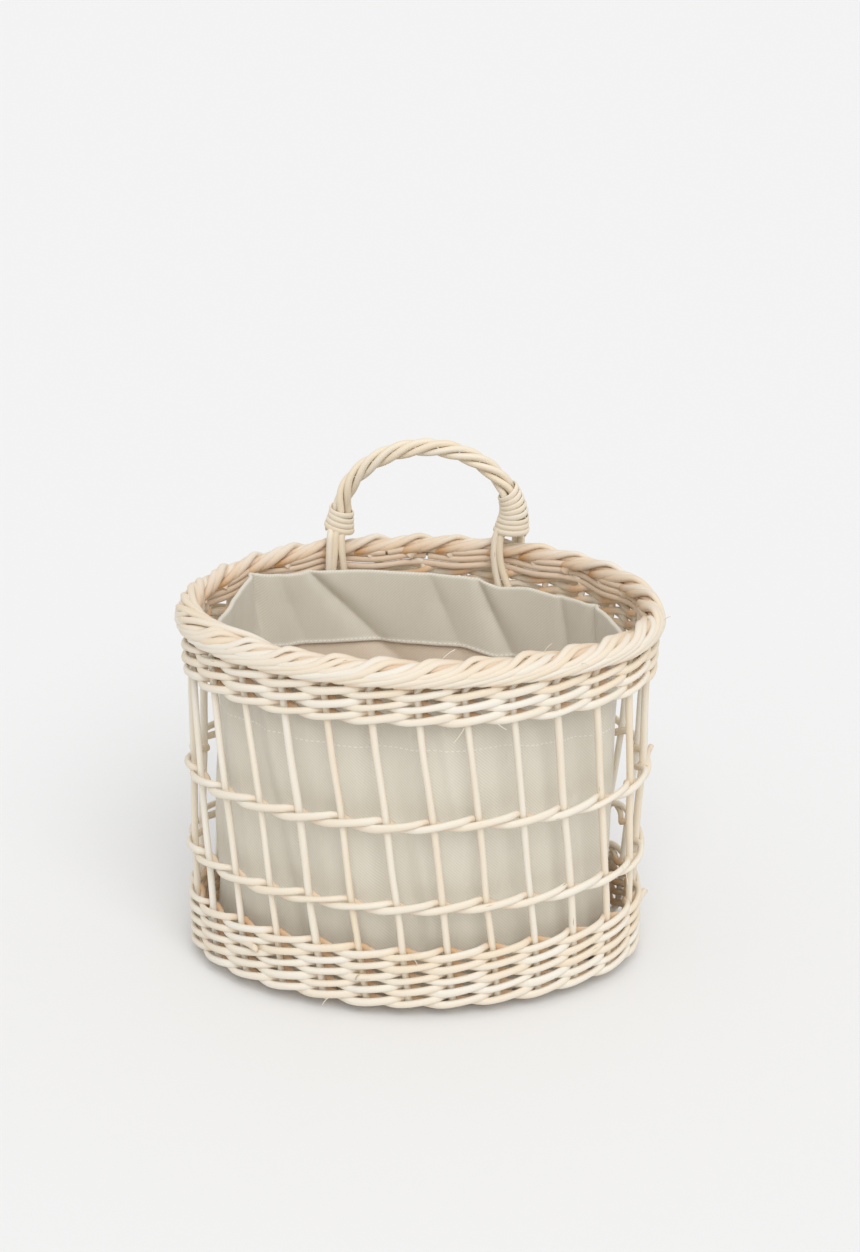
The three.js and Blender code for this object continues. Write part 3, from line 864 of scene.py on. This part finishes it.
# %% Base
BASE_ROD = 3.2 * MM
BASE_MIDDLE = 3.5 * MM
BASE_SWING = 1.75 * MM
BASE_EDGE = 12.2 * MM
BASE_PITCH = 3.5 * MM
BASE_ROUNDS = 15
BASE_CORE = 56 * MM
BASE_STEP = 0.14
# A light painted shade on the base's rods, which lie between their neighbours.
BASE_WEAVER_PAINTED_SHADE = 0.15
BASE_STICK_PAINTED_SHADE = 0.1
HALF_ROUND = STAKES // 2
CROSS_STICKS = range(-6, 7)
LONG_STICKS = (-10.5, -3.5, 3.5, 10.5)
LONG_STICK_REACH = 104 * MM
LONG_STICK_POINTS = 90
LONG_STICK_SWING = 0.9
CROSS_STICK_PITCH = 17 * MM


def base_point(place, inset, height):
    """A point of the base: how far round in stakes and how far in from the line of the stakes."""
    place, inset, height = np.broadcast_arrays(np.asarray(place, float), inset, height)
    x, y = plan_at(place + LEAN_STAKES)[:2]
    depth = np.where(y < 0, FRONT_DEPTH, BACK_DEPTH)
    across = x * (FOOT_SHARE - inset / HALF_WIDTH) + FOOT_SHIFT
    deep = y * (FOOT_SHARE - inset / depth) - PLAN_CENTRE
    return np.stack([across, deep, height], axis=-1)


wound = np.arange(0, BASE_ROUNDS * STAKES, BASE_STEP)
inset = BASE_EDGE + BASE_PITCH * wound / STAKES
settled = np.clip(1.6 - wound / STAKES / BASE_ROUNDS, 0.6, 1)
swing = BASE_SWING * np.sin(math.pi * (wound * (1 + 1 / STAKES) + 0.5)) * settled
route = base_point(wound, inset, BASE_MIDDLE + swing)
piece = rod("willow_base_weaver", route, UPWARDS, BASE_ROD * 1.1, BASE_ROD, BASE_WEAVER_PAINTED_SHADE, 6)
weave_in(piece, ["base_panel"])
for k in CROSS_STICKS:
    back, front = k % STAKES, (HALF_ROUND - k) % STAKES
    corners = [base_point(back, BASE_EDGE, 0), base_point(back, BASE_CORE, 0)]
    corners += [base_point(front, BASE_CORE, 0), base_point(front, BASE_EDGE, 0)]
    route = even(np.array(corners), 4 * MM)
    route[:, 2] = BASE_MIDDLE
    name = f"willow_base_cross_stick_{k - CROSS_STICKS[0] + 1:02d}"
    piece = rod(name, route, UPWARDS, BASE_ROD, None, BASE_STICK_PAINTED_SHADE, 8)
    weave_in(piece)
middle = (base_point(0, 0, 0)[1] + base_point(HALF_ROUND, 0, 0)[1]) / 2
for k, beside in enumerate(LONG_STICKS):
    x = np.linspace(-LONG_STICK_REACH, LONG_STICK_REACH, LONG_STICK_POINTS)
    turned_over = np.sign(k % 2 - 0.5)
    weave = BASE_SWING * LONG_STICK_SWING * turned_over * np.cos(math.pi * x / CROSS_STICK_PITCH)
    route = np.stack([x + FOOT_SHIFT, middle + beside * MM + 0 * x, BASE_MIDDLE + weave], axis=-1)
    piece = rod(f"willow_base_long_stick_{k + 1}", route, UPWARDS, BASE_ROD, None, BASE_STICK_PAINTED_SHADE, 8)
    weave_in(piece)
print("base rounds", BASE_ROUNDS)

# %% [markdown]
# The liner is a bag of greige twill: a wall sewn to an oval floor, with a deep facing folded over the
# top edge to the inside and stitched down. It stands loose, a little too large for the basket, so its
# wall falls in soft folds and sharp creases run down from its top edge. The weave and the row of
# stitches follow the cloth, so they are painted on its own flat coordinates.

# %% The cloth's finish
TWILL_PITCH = 1.8 * MM
STITCH_DEPTH = 41.6 * MM
STITCH_LENGTH = 2.8 * MM
SLUB_SCALES = (700, 110, 0)
STAIN_SCALES = (22, 22, 0)
STITCH_COLOUR = (0.90, 0.87, 0.80, 1)
THREAD_HEIGHT = 0.12 * MM


def cloth_finish(name, light, dark):
    """Twill that goes from a light to a dark colour, with a row of stitches under its top edge."""
    finish = Finish(name)
    place = finish.node("ShaderNodeUVMap", {"uv_map": "cloth"}, {})
    across = finish.node("ShaderNodeSeparateXYZ", {}, {0: place}, "X")
    down = Value(finish, across.socket.node.outputs["Y"])

    def wave(value, pitch):
        return finish.node("ShaderNodeMath", {"operation": "SINE"}, {0: value * (TURN / pitch)})

    ribs = wave(across + down, TWILL_PITCH)
    threads = wave(across - down * 2, TWILL_PITCH * 0.7)
    slubs = finish.noise(finish.stretched(place, SLUB_SCALES), 1, 3, 0.6)
    clouds = finish.noise(finish.stretched(place, STAIN_SCALES), 1, 3)
    weave = 0.5 + 0.35 * ribs + 0.15 * threads
    cloth = finish.mix(clouds * 0.4 + slubs * 0.35, light, dark)
    cloth = finish.mix(weave * 0.75, cloth, dark)
    off_line = finish.node("ShaderNodeMath", {"operation": "ABSOLUTE"}, {0: down + STITCH_DEPTH})
    line = finish.ramp(off_line * (1 / MM), [(0.25, grey(1)), (0.55, grey(0))])
    dashes = finish.ramp(0.5 + 0.5 * wave(across, STITCH_LENGTH), [(0.25, grey(0)), (0.45, grey(1))])
    stitches = finish.node("ShaderNodeMath", {"operation": "MULTIPLY"}, {0: line, 1: dashes})
    cloth = finish.mix(stitches * 0.55, cloth, STITCH_COLOUR)
    normal = finish.bump(weave * 0.5 + slubs * 0.5 + stitches * 2, 0.4, THREAD_HEIGHT)
    finish.set(Base_Color=cloth, Roughness=0.88, Normal=normal)
    finish.set(Specular_IOR_Level=0.2, Sheen_Weight=0.2, Sheen_Roughness=0.5)
    return finish.material


twill_outside = cloth_finish("twill_outside_finish", (0.83, 0.79, 0.70, 1), (0.62, 0.58, 0.485, 1))
twill_inside = cloth_finish("twill_inside_finish", (0.88, 0.77, 0.64, 1), (0.70, 0.595, 0.475, 1))
print("cloth finishes made")

# %% [markdown]
# The wall of the liner follows the basket's wall from inside, with a gap. Creases run down from its
# top edge at the back, where the cloth is pulled to the basket, and soft folds fill the rest. A cloth
# simulation wouldn't put the creases where they are wanted, so the places are worked out instead.

# %% Shape of the liner
LINER_FRONT_GAP = 8 * MM
LINER_BACK_GAP = 14 * MM
LINER_FLOOR = 7.5 * MM
LINER_CORNER = 7 * MM
LINER_LENGTH = 0.6
CLOTH_THICKNESS = 0.8 * MM
FACING_DEPTH = 43 * MM
LINER_COLUMNS = 420
TOP_EDGE = [
    *[(0, 193.2), (0.08, 196.8), (0.14, 199.5), (0.16, 201.5), (0.175, 203.5), (0.25, 196.5)],
    *[(0.36, 195), (0.55, 194.5), (0.627, 190), (0.673, 188), (0.73, 189), (0.8125, 190.5)],
    *[(0.868, 188.2), (0.9, 189.6), (0.93, 187.4), (0.962, 192), (1, 193.2)],
]
TOP_SHARES, TOP_HEIGHTS = zip(*TOP_EDGE)
BULGE = 4.4 * MM
CREASES = [
    (0.148, 0.118, 0.55, 9 * MM, 12 * MM, 0.4),
    (0.112, 0.04, 1.1, 8 * MM, 12 * MM, 0.7),
    (-0.003, -0.034, 0.5, 8 * MM, 12 * MM, 0.4),
    (-0.049, -0.087, 1.05, 8 * MM, 11 * MM, 0.7),
    (-0.138, -0.152, 0.55, 8 * MM, 9 * MM, 0.6),
    (-0.185, -0.192, 0.7, 6 * MM, 10 * MM, 1),
    (0.174, 0.166, 1.0, 7 * MM, 8 * MM, 1),
]
CORNER_SHARE = 0.176
CORNER_REACH = 2.5 * MM
SIDE_SHARE = 0.245
SIDE_PULL = 3 * MM
CORNER_SPREAD = 12 * MM
SIDE_SPREAD = 20 * MM
PUSH_DEPTH = 70 * MM
CREASE_DEPTHS = [0, 0.4, 1, 1.8, 2.6]
CREASE_MOST = 1.15
SHARP_SIDE = 1.05
ROUND_SIDE = 1.7
SOFT_ROUND = 4.2
SOFT_TWIST = 1.6
SOFT_RISE = 5
FINER = 2.2
FINER_SHIFT = Vector((9, 4, 2))
BACK_DEPTH_FADE = 95 * MM
SOFT_BULGE = 0.9 * MM
STANDING_RISE = 45 * MM
FOLD_REACH = 6 * MM
CORNER_TUCK = 0.8


def liner_top(turn_share):
    """How high the liner's top edge stands, by the share of its round."""
    return np.interp(np.mod(turn_share, 1), TOP_SHARES, TOP_HEIGHTS) * MM


def creased(turn_share, depth):
    """How far the creases pull the cloth back to the wall, from 0 to 1."""
    pulled = np.zeros_like(turn_share)
    lower = np.clip(depth / FACING_DEPTH, 0, 3)
    signed = np.mod(turn_share + 0.5, 1) - 0.5
    for top, bottom, strength, wide_right, wide_left, at_top in CREASES:
        line = top + (bottom - top) * lower
        away = (line - signed) * LINER_LENGTH
        spread = 0.3 + 0.7 * np.clip(lower, 0, 1)
        right = np.exp(-((np.abs(away) / (wide_right * spread)) ** SHARP_SIDE))
        left = np.exp(-((np.abs(away) / (wide_left * spread)) ** ROUND_SIDE))
        grows = np.interp(lower, CREASE_DEPTHS, [at_top, 1, 0.7, 0.3, 0])
        pulled = pulled + strength * grows * np.where(away > 0, right, left)
    return np.clip(pulled, 0, CREASE_MOST)


def soft_folds(turn_share, height):
    """The slow folds of hanging cloth, about 0.5 on average."""
    soft = []
    for turned, high in zip(TURN * turn_share, height):
        turned = turned + high * SOFT_TWIST
        at = Vector((SOFT_ROUND * math.cos(turned), SOFT_ROUND * math.sin(turned), SOFT_RISE * high))
        soft.append(noise.noise(at) + 0.5 * noise.noise(at * FINER + FINER_SHIFT))
    return 0.5 + 1.1 * np.array(soft)


def fading(turn_share, middle, spread):
    """1 at one place of the liner's round, fading to 0 on both sides."""
    return np.exp(-(((turn_share - middle) * LINER_LENGTH / spread) ** 2))


def liner_point(turn_share, height, depth, inset):
    """A point of the liner's wall, some way inside its outer face. Depth is below its top edge."""
    towards_back = (1 + np.cos(TURN * turn_share)) / 2
    gap = LINER_FRONT_GAP + (LINER_BACK_GAP - LINER_FRONT_GAP) * towards_back
    soft = soft_folds(turn_share, height)
    upper = np.clip(1.5 - depth / BACK_DEPTH_FADE, 0, 1)
    in_back = np.clip(towards_back * 2.2 - 0.35, 0, 1) * upper
    bulge = BULGE * in_back * (1 - creased(turn_share, depth)) + SOFT_BULGE * soft * in_back
    standing = np.clip((height - LINER_FLOOR) / STANDING_RISE, 0.12, 1)
    fold = FOLD_REACH * np.clip(soft, 0, 1.4) * (1 - in_back) * standing
    round_off = np.clip(1 - (height - LINER_FLOOR) / LINER_CORNER, 0, 1)
    corner = LINER_CORNER * (1 - np.sqrt(1 - round_off**2)) * CORNER_TUCK
    lean = LEAN_STAKES * (1 - height / BODY_HEIGHT)
    to_corner = fading(turn_share, CORNER_SHARE, CORNER_SPREAD)
    to_side = fading(turn_share, SIDE_SHARE, SIDE_SPREAD)
    pushed_out = (CORNER_REACH * to_corner - SIDE_PULL * to_side) * np.clip(1 - depth / PUSH_DEPTH, 0, 1)
    return wall(turn_share * STAKES - lean, height, pushed_out - gap - bulge - fold - corner - inset)


def cloth_sheet(name, points, flats, wraps=True):
    """A closed ring of quads. flats are the points' flat coordinates, across and down.

    Where the flat cloth wraps round, its last column ends a step further on than it starts.
    """
    width = LINER_COLUMNS
    rows = len(points) // width
    faces, corners = [], []
    step = LINER_LENGTH / width
    for r in range(rows - 1):
        for c in range(width):
            d = (c + 1) % width
            ring = (r * width + c, r * width + d, (r + 1) * width + d, (r + 1) * width + c)
            faces.append(ring)
            left = flats[ring[0]][0]
            across = (left, left + step, left + step, left)
            if not wraps:
                across = [flats[corner][0] for corner in ring]
            corners += [(value, flats[corner][1]) for value, corner in zip(across, ring)]
    piece = add_piece(name, points, faces)
    layer = piece.data.uv_layers.new(name="cloth")
    layer.data.foreach_set("uv", np.array(corners).ravel())
    return piece


def thicken(piece, thickness, offset=-1):
    """Gives a sheet its thickness and smooth shading. Offset 1 is the side that its faces point to."""
    pick(piece)
    bpy.ops.object.modifier_add(type="SOLIDIFY")
    solid = piece.modifiers[-1]
    solid.thickness = thickness
    solid.offset = offset
    solid.material_offset = 1
    bpy.ops.object.modifier_apply(modifier=solid.name)
    bpy.ops.object.shade_smooth()


CORNER_RISES = np.linspace(0, 0.05, 8)[:-1]
WALL_RISES = np.concatenate([CORNER_RISES, np.linspace(0.05, 1, 80)])
BELOW_TOP = 0.9 * MM
shares = np.arange(LINER_COLUMNS) / LINER_COLUMNS


def wall_rows():
    """Rows of the liner's wall from the floor up, closer together at the rounded corner."""
    points, flats = [], []
    top = liner_top(shares) - BELOW_TOP
    for part in WALL_RISES:
        height = LINER_FLOOR + (top - LINER_FLOOR) * part
        depth = top - height
        points.append(liner_point(shares, height, depth, 0))
        flats.append(np.stack([shares * LINER_LENGTH, -depth], axis=1))
    return np.concatenate(points), np.concatenate(flats)


wall_cloth = cloth_sheet("liner_wall_cloth", *wall_rows())
finish_piece(wall_cloth, [twill_outside, twill_inside], "liner", ["liner_bag"])
thicken(wall_cloth, CLOTH_THICKNESS)
print("liner wall", [round(d / MM) for d in wall_cloth.dimensions], "mm")

# %% [markdown]
# The facing starts at the outside of the top edge, folds over it and hangs down inside as far as its
# hem, which is stitched through the wall, so the same stitches show outside between the stakes.

# %% Facing
FACING_THICKNESS = 0.5 * MM
HANG_INSET = 1.6
FACING_END = FACING_DEPTH / MM
FOLD = [(0.9, -0.02), (0.3, 0.05), (0, 0.5), (0, 1.05), (0.3, 1.5), (0.9, HANG_INSET)]
HANG = [(depth, HANG_INSET) for depth in np.linspace(2, FACING_END - 2.6, 40)]
HEM = [(FACING_END - 1.8, 1.8), (FACING_END - 0.8, 2.1), (FACING_END, 2.2)]


def facing_rows():
    """Rows of the facing from the outside of the top edge over it and down to the hem."""
    points, flats = [], []
    for depth, inset in FOLD + HANG + HEM:
        height = liner_top(shares) - depth * MM
        points.append(liner_point(shares, height, np.full(len(shares), depth * MM), inset * MM))
        flats.append(np.stack([shares * LINER_LENGTH, np.full(len(shares), -depth * MM)], axis=1))
    return np.concatenate(points), np.concatenate(flats)


facing_cloth = cloth_sheet("liner_facing_cloth", *facing_rows())
finish_piece(facing_cloth, [twill_outside, twill_outside], "liner", ["liner_facing"])
thicken(facing_cloth, FACING_THICKNESS, 1)

# %% [markdown]
# The floor is an oval sheet that is sewn to the wall's lower edge. It lies on the woven base and
# ripples a little towards its middle.

# %% Floor of the liner
SEAM_DEPTH = 0.19
SEAM_INSET = -0.4 * MM
FLOOR_CLEARANCE = 0.1 * MM
FLOOR_RINGS = np.linspace(1, 0.004, 34)
RIPPLE_SCALE = 28
RIPPLE_HEIGHT = 0.5 * MM


def floor_rows():
    """Rings from the wall's lower seam to the middle of the floor."""
    level = np.full(len(shares), LINER_FLOOR)
    seam = liner_point(shares, level, np.full(len(shares), SEAM_DEPTH), SEAM_INSET)
    middle = seam.mean(axis=0)
    points, flats = [], []
    for part in FLOOR_RINGS:
        ring = middle + (seam - middle) * part
        ring[:, 2] = LINER_FLOOR + FLOOR_CLEARANCE
        ripple = [noise.noise(Vector(point) * RIPPLE_SCALE) for point in ring]
        ring[:, 2] += RIPPLE_HEIGHT * (1 + np.array(ripple)) * (1 - part**6)
        points.append(ring)
        flats.append(ring[:, :2] + 1)
    return np.concatenate(points), np.concatenate(flats)


floor_cloth = cloth_sheet("liner_floor_cloth", *floor_rows(), wraps=False)
finish_piece(floor_cloth, [twill_inside, twill_outside], "liner")
thicken(floor_cloth, CLOTH_THICKNESS, 1)

# %% [markdown]
# Cloth is cut flat before it is sewn. The liner has three sheets: the wall, the facing and the floor.

# %% Sheets of the liner
print("sheets declared", 3)

# %% [markdown]
# Hand work leaves traces: short cut ends where a new weaver was laid in, and fine fibres that split off
# the rods.

# %% Cut ends and loose fibres
CUT_ENDS = [
    (9.1, 29 * MM, 15 * MM, 1),
    (19.4, 33 * MM, 14 * MM, 1),
    (20.3, 116 * MM, 15 * MM, 1),
    (12.3, 24 * MM, 10 * MM, -1),
    (25.5, 178 * MM, 12 * MM, 1),
    (2.5, 21 * MM, 13 * MM, -1),
]
END_TUCK = 0.6
END_PARTS = np.linspace(-END_TUCK, 1, 12)
END_REACHES = 2 * MM + (END_PARTS + END_TUCK) ** 2 * 2.6 * MM
# A light painted shade on the cut ends.
END_PAINTED_SHADE = 0.1
END_LEAN = Vector((0, 0, 0.8))
for k, (place, height, length, towards) in enumerate(CUT_ENDS):
    spots = place + towards * END_PARTS * length / SPACING
    route = wall(spots, height + END_PARTS * 2 * MM, END_REACHES)
    facings = outward(spots, height)
    piece = rod(f"willow_cut_end_{k + 1}", route, facings, LAID_WIDTH, LAID_THICKNESS, END_PAINTED_SHADE)
    tangent = Vector(route[-1] - route[-4]).normalized()
    cut_end(piece, Vector(route[-1]) - tangent * CUT_BACK * MM, (tangent + END_LEAN).normalized())
    weave_in(piece)

FIBRES = [
    (8.2, 203 * MM, -5 * MM, (-0.2, -0.2, 1)),
    (14.6, 205.5 * MM, -3 * MM, (0.75, 0.1, 0.9)),
    (14.9, 171 * MM, 5 * MM, (-0.5, -0.9, -0.7)),
    (15.6, 172 * MM, 5 * MM, (0.9, -0.6, -0.5)),
    (16.8, 206 * MM, 0 * MM, (0.3, -0.1, 1)),
    (13.3, 34 * MM, 5 * MM, (-0.2, -0.5, 1)),
    (17.5, 200 * MM, 7 * MM, (0.5, -1, 0.5)),
    (20.3, 202 * MM, 6 * MM, (0.6, -0.5, 0.8)),
    (11.2, 9 * MM, 5 * MM, (-0.6, -0.8, -0.1)),
    (18.4, 70 * MM, 5 * MM, (0.4, -0.9, -0.5)),
    (24.5, 198 * MM, 7 * MM, (0.8, 0.6, 0.4)),
    (3.6, 203 * MM, 6 * MM, (-0.8, 0.6, 0.5)),
]
FIBRE_LENGTHS = (6, 11)
FIBRE_PARTS = np.linspace(0, 1, 12)[:, None]
FIBRE_BOW = 0.3
FIBRE_FACING = (0.3, 0.9, 0.2)
FIBRE_WIDTH = 0.38 * MM
for k, (place, height, reach, direction) in enumerate(FIBRES):
    start = wall(np.array([place]), np.array([height]), np.array([reach]))[0]
    length = random.uniform(*FIBRE_LENGTHS) * MM
    bow = np.array([random.uniform(-1, 1), random.uniform(-1, 1), random.uniform(-1, 0.2)])
    straight = unit(np.array([direction]))[0] * length * FIBRE_PARTS
    route = start + straight + bow * length * FIBRE_BOW * FIBRE_PARTS**2
    piece = rod(f"willow_fibre_{k + 1:02d}", route, FIBRE_FACING, FIBRE_WIDTH, None, 0, 5)
    weave_in(piece)
print("cut ends", len(CUT_ENDS), "fibres", len(FIBRES))

# %% [markdown]
# The border closes at the left end. There the last rods are threaded home over the first ones: they
# come up from outside, cross the top and tuck down inside, so the border is fuller at that place.

# %% Ends threaded home
THREADED_STARTS = (5.7, 6.35, 7.05, 7.8)
THREADED_STAKES = [0, 0.5, 1, 1.7, 2.4, 2.9, 3.2]
THREADED_RISES = np.array([0, 4.6, 7.6, 8, 6.6, 3.2, -1.5]) * MM
THREADED_REACHES = np.array([5, 5, 2.4, -2, -4.6, -5.2, -4.4]) * MM
THREADED_WIDTH = 4.3 * MM
THREADED_THICKNESS = 3.4 * MM
# A light painted shade on the threaded ends.
THREADED_PAINTED_SHADE = 0.05
moved = np.arange(0, THREADED_STAKES[-1], STRAND_STEP)
rises = np.interp(moved, THREADED_STAKES, THREADED_RISES)
reaches = np.interp(moved, THREADED_STAKES, THREADED_REACHES)
for k, start in enumerate(THREADED_STARTS):
    route = sway(smooth(even(wall(start + moved, BORDER_CENTRE + rises, reaches), ROD_STEP), 3))
    name = f"willow_threaded_end_{k + 1}"
    piece = rod(name, route, UPWARDS, THREADED_WIDTH, THREADED_THICKNESS, THREADED_PAINTED_SHADE)
    weave_in(piece)
print("threaded ends", len(THREADED_STARTS))

# %% [markdown]
# The floor is plain and pale. A wide soft sun, a little from the right, lights everything evenly, and
# the world fills the shadows. Together they light a level surface to about its own colour. The world
# itself is seen as pale as the floor, so a low view shows no strip past the floor's edge. Light Path
# tells those rays from the ones that light the basket.

# %% Floor, world and lamps
FLOOR_COLOUR = (0.86, 0.86, 0.86, 1)
FLOOR_SIZE = 400
WORLD_STRENGTH = 0.71
SKY_SEEN = 0.9
SUN_STRENGTH = 1.42
SUN_SPREAD = math.radians(45)
SUN_FROM = (0.28, -1.0, 1.15)
bpy.ops.object.select_all(action="DESELECT")
bpy.ops.mesh.primitive_plane_add(size=FLOOR_SIZE)
floor = bpy.context.object
floor.name = "studio_floor"
floor_finish = Finish("floor_finish")
floor_finish.set(Base_Color=FLOOR_COLOUR, Roughness=0.95, Specular_IOR_Level=0.1)
floor.data.materials.append(floor_finish.material)

world = bpy.data.worlds.new("studio_world")
world.use_nodes = True
nodes = world.node_tree.nodes
links = world.node_tree.links
background = nodes["Background"]
background.inputs["Color"].default_value = (1, 1, 1, 1)
ray = nodes.new("ShaderNodeLightPath")
seen = ray.outputs["Is Camera Ray"]
for kind in ("Is Glossy Ray", "Is Transmission Ray"):
    either = nodes.new("ShaderNodeMath")
    either.operation = "MAXIMUM"
    links.new(seen, either.inputs[0])
    links.new(ray.outputs[kind], either.inputs[1])
    seen = either.outputs[0]
level = nodes.new("ShaderNodeMapRange")
level.inputs["To Min"].default_value = WORLD_STRENGTH
level.inputs["To Max"].default_value = SKY_SEEN
links.new(seen, level.inputs["Value"])
links.new(level.outputs["Result"], background.inputs["Strength"])
bpy.context.scene.world = world

bpy.ops.object.light_add(type="SUN", location=SUN_FROM)
sun = bpy.context.object
sun.name = "window_light"
sun.data.energy = SUN_STRENGTH
sun.data.angle = SUN_SPREAD
sun.rotation_euler = (-Vector(SUN_FROM)).to_track_quat("-Z", "Y").to_euler()

bpy.context.scene.view_settings.view_transform = "Standard"
